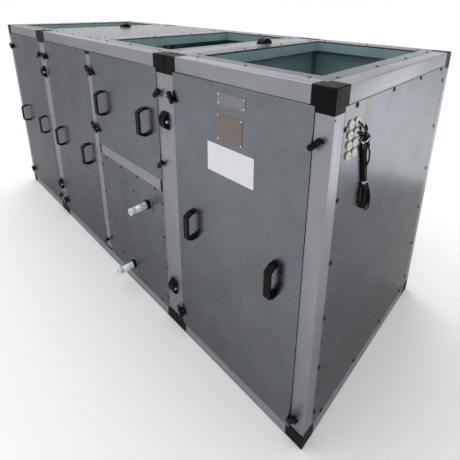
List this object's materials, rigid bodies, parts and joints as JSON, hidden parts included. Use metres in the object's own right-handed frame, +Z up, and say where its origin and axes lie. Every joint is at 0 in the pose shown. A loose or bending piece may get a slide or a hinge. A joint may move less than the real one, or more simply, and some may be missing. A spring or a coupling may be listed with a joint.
{
  "type": "air handling unit",
  "caption": "Modular air handling unit: aluminium profile frame in three bolted sections, galvanised panels, lift-off access panels with bow handles, top duct openings and coil pipes.",
  "frame": {"origin": "on the floor, at the middle of the casing's footprint", "axes": "+X along the casing to the right as seen from the access side, +Y to the back, +Z up"},
  "size_m": [2.5664, 1.0429, 1.2239],
  "materials": {
    "frame_aluminium": "mill finish extrusion",
    "galvanised_sheet": "galvanised",
    "black_nylon": "moulded",
    "zinc_pipe": "zinc plated",
    "black_rubber": "moulded",
    "cream_rubber": "moulded"
  },
  "bodies": {
    "root": {"section_a_posts": "frame_aluminium", "section_a_long_rails": "frame_aluminium", "section_a_cross_rails": "frame_aluminium", "section_a_corners": "black_nylon", "section_b_posts": "frame_aluminium", "section_b_long_rails": "frame_aluminium", "section_b_cross_rails": "frame_aluminium", "section_b_corners": "black_nylon", "section_c_posts": "frame_aluminium", "section_c_long_rails": "frame_aluminium", "section_c_cross_rails": "frame_aluminium", "section_c_corners": "black_nylon", "mullion_posts": "frame_aluminium", "mullion_cross_rails": "frame_aluminium", "transom": "frame_aluminium", "mullion_caps": "black_nylon", "access_panel_a": "galvanised_sheet", "access_panel_b": "galvanised_sheet", "access_panel_upper": "galvanised_sheet", "access_panel_c": "galvanised_sheet", "coil_panel": "galvanised_sheet", "back_panel_a": "galvanised_sheet", "back_panel_b_left": "galvanised_sheet", "back_panel_b_right": "galvanised_sheet", "back_panel_c": "galvanised_sheet", "end_panel_left": "galvanised_sheet", "end_panel_right": "galvanised_sheet", "inner_wall_c": "galvanised_sheet", "top_panel_b": "galvanised_sheet", "duct_panel_a": "galvanised_sheet", "duct_panel_b": "galvanised_sheet", "duct_panel_c": "galvanised_sheet", "floor_panels": "galvanised_sheet", "handles_a": "black_nylon", "handles_b": "black_nylon", "handles_upper": "black_nylon", "handles_c": "black_nylon", "panel_clamps": "black_nylon", "section_joint_ears": "black_nylon", "coil_pipes": "zinc_pipe", "pipe_sleeves": "black_rubber", "pipe_rosettes": "galvanised_sheet", "cable_grommets": "cream_rubber", "cable_tails": "black_rubber", "cable_hank": "black_rubber", "cable_connectors": "black_nylon"}
  },
  "joints": []
}
